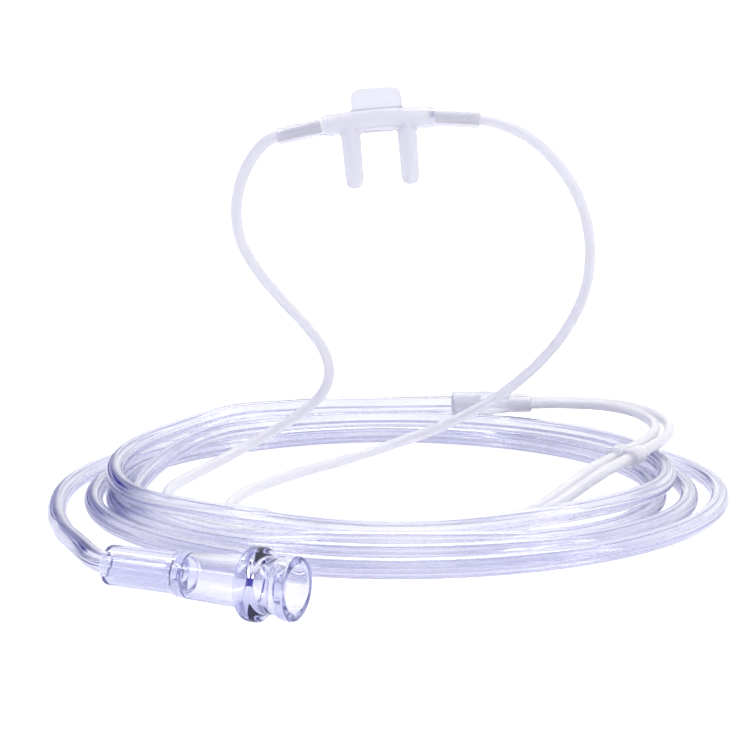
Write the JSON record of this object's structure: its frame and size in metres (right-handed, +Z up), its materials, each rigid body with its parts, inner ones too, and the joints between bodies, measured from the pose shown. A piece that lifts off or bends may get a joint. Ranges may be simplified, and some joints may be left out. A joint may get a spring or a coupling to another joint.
{
  "type": "nasal oxygen cannula",
  "caption": "Nasal oxygen cannula: soft prong piece on thin over-ear tubes, slide adjuster, Y splitter and a coiled supply tube with a funnel-shaped connector.",
  "frame": {"origin": "on the floor, under the middle of the box round the rigid pieces: prong piece, slide adjuster, Y splitter and connector", "axes": "+X along the connector, out of its mouth; +Y from the connector across the coil; +Z up, with the prong piece on top"},
  "size_m": [0.1767, 0.2129, 0.1055],
  "materials": {
    "soft_vinyl": "soft moulded and extruded PVC, milky clear, satin",
    "clear_vinyl": "firm clear moulded PVC, glossy",
    "supply_vinyl": "clear extruded PVC with a violet tint, glossy, ribbed inside"
  },
  "bodies": {
    "tubes": {"nasal_piece": "soft_vinyl", "lariat_tube_left": "soft_vinyl", "lariat_tube_right": "soft_vinyl", "y_splitter": "clear_vinyl", "supply_tube_lead": "supply_vinyl", "supply_tube_coil": "supply_vinyl", "supply_tube_tail": "supply_vinyl", "oxygen_connector": "clear_vinyl"},
    "adjuster": {"slide_adjuster": "soft_vinyl"}
  },
  "joints": [
    {"name": "adjuster_slide", "type": "slide", "parent": "tubes", "child": "adjuster", "axis": [0, 1, 0], "range_m": [-0.004, 0.004]}
  ]
}
